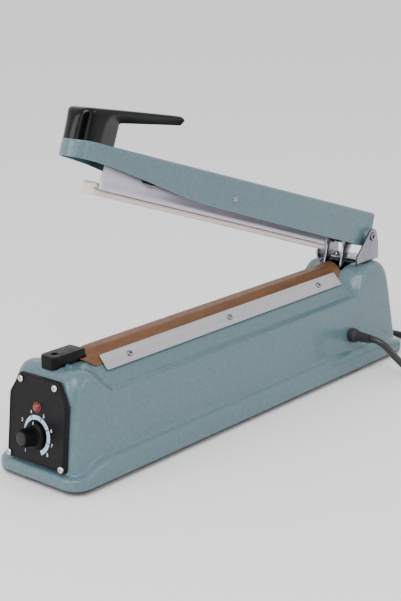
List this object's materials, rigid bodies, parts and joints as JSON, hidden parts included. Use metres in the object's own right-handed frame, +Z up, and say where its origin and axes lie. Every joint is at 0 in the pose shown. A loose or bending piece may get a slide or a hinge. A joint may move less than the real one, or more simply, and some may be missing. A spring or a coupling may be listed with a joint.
{
  "type": "impulse heat sealer",
  "caption": "Bench-top impulse heat sealer: enamelled base with timer panel, sprung hinged press arm with front handle, PTFE-covered sealing rail and mains cord.",
  "frame": {"origin": "middle of the machine on the surface it stands on, cord left out", "axes": "+X along the sealing line towards the hinge, +Y away from the viewer's side with the mains cord gland, +Z up"},
  "size_m": [0.4819, 0.2759, 0.2739],
  "materials": {
    "aluminium_rail": "satin",
    "aluminium_strip": "brushed",
    "black_handle": "gloss",
    "black_knob": "satin",
    "black_panel": "fine texture",
    "black_plastic": "semi gloss",
    "black_rubber": "matt",
    "circuit_board": "satin",
    "coil_copper": "taped winding",
    "cord_black": "satin",
    "core_steel": "laminated",
    "cream_silicone": "matt",
    "dark_plate": "satin",
    "hammertone_enamel": "hammertone gloss",
    "nichrome": "satin",
    "nickel_plate": "bright",
    "plain_steel": "satin",
    "press_bar_metal": "satin",
    "ptfe_brown": "woven glass cloth, satin",
    "red_button": "gloss",
    "red_lens": "gloss",
    "screw_steel": "bright",
    "spring_steel": "bright",
    "terminal_brass": "satin"
  },
  "bodies": {
    "base": {"base_housing": "hammertone_enamel", "bottom_plate": "dark_plate", "bracket_screw_far": "screw_steel", "bracket_screw_near": "screw_steel", "clamp_strip_far": "aluminium_strip", "clamp_strip_near": "aluminium_strip", "control_panel": "black_panel", "cord_coil": "cord_black", "cord_tail": "cord_black", "element_terminal_front": "terminal_brass", "element_terminal_rear": "terminal_brass", "foot_1": "black_rubber", "foot_2": "black_rubber", "foot_3": "black_rubber", "foot_4": "black_rubber", "heating_element": "nichrome", "hinge_bracket": "nickel_plate", "hinge_pin": "nickel_plate", "indicator_lamp": "red_lens", "microswitch_body": "black_plastic", "panel_screw_1": "screw_steel", "panel_screw_2": "screw_steel", "panel_screw_3": "screw_steel", "panel_screw_4": "screw_steel", "pin_retainer": "plain_steel", "plate_screw_1": "screw_steel", "plate_screw_2": "screw_steel", "plate_screw_3": "screw_steel", "plate_screw_4": "screw_steel", "power_cord": "cord_black", "power_plug": "cord_black", "ptfe_cloth": "ptfe_brown", "return_spring": "spring_steel", "sealing_rail": "aluminium_rail", "spring_anchor": "plain_steel", "strain_relief": "black_rubber", "strip_screw_far_1": "screw_steel", "strip_screw_far_2": "screw_steel", "strip_screw_far_3": "screw_steel", "strip_screw_near_1": "screw_steel", "strip_screw_near_2": "screw_steel", "strip_screw_near_3": "screw_steel", "switch_bracket": "plain_steel", "terminal_cover": "black_plastic", "terminal_cover_screw": "screw_steel", "timer_board": "circuit_board", "timer_potentiometer": "plain_steel", "transformer_coil": "coil_copper", "transformer_core": "core_steel"},
    "arm": {"press_arm": "hammertone_enamel", "handle": "black_handle", "handle_screw": "screw_steel", "bar_pivot_pin": "nickel_plate", "return_fork": "nickel_plate", "fork_cross_pin": "plain_steel", "pressure_spring": "spring_steel"},
    "press_bar": {"press_bar": "press_bar_metal", "silicone_strip": "cream_silicone"},
    "timer_knob": {"timer_knob": "black_knob"},
    "switch_plunger": {"switch_plunger": "red_button"}
  },
  "joints": [
    {"name": "arm_hinge", "type": "hinge", "parent": "base", "child": "arm", "pos_m": [0.19748, 0, 0.1146], "axis": [0, 1, 0], "range_deg": [-18.5, 0], "stiffness_Nm_per_rad": 6, "springref_deg": 25.78, "deforming": ["return_spring"]},
    {"name": "press_bar_tilt", "type": "hinge", "parent": "arm", "child": "press_bar", "pos_m": [0.00403, 0, 0.18215], "axis": [0, 1, 0], "range_deg": [-0.5, 0.15], "stiffness_Nm_per_rad": 4, "deforming": ["pressure_spring"]},
    {"name": "timer_knob_turn", "type": "hinge", "parent": "base", "child": "timer_knob", "pos_m": [-0.2085, 0, 0.03861], "axis": [-0.9925, 0, 0.1221], "range_deg": [-140, 140]},
    {"name": "switch_plunger_press", "type": "slide", "parent": "base", "child": "switch_plunger", "axis": [0, 0, 1], "range_m": [-0.001, 0]}
  ],
  "couplings": [
    {"joint": "switch_plunger_press", "follows": "arm_hinge", "m_per_rad": 0.003096}
  ]
}
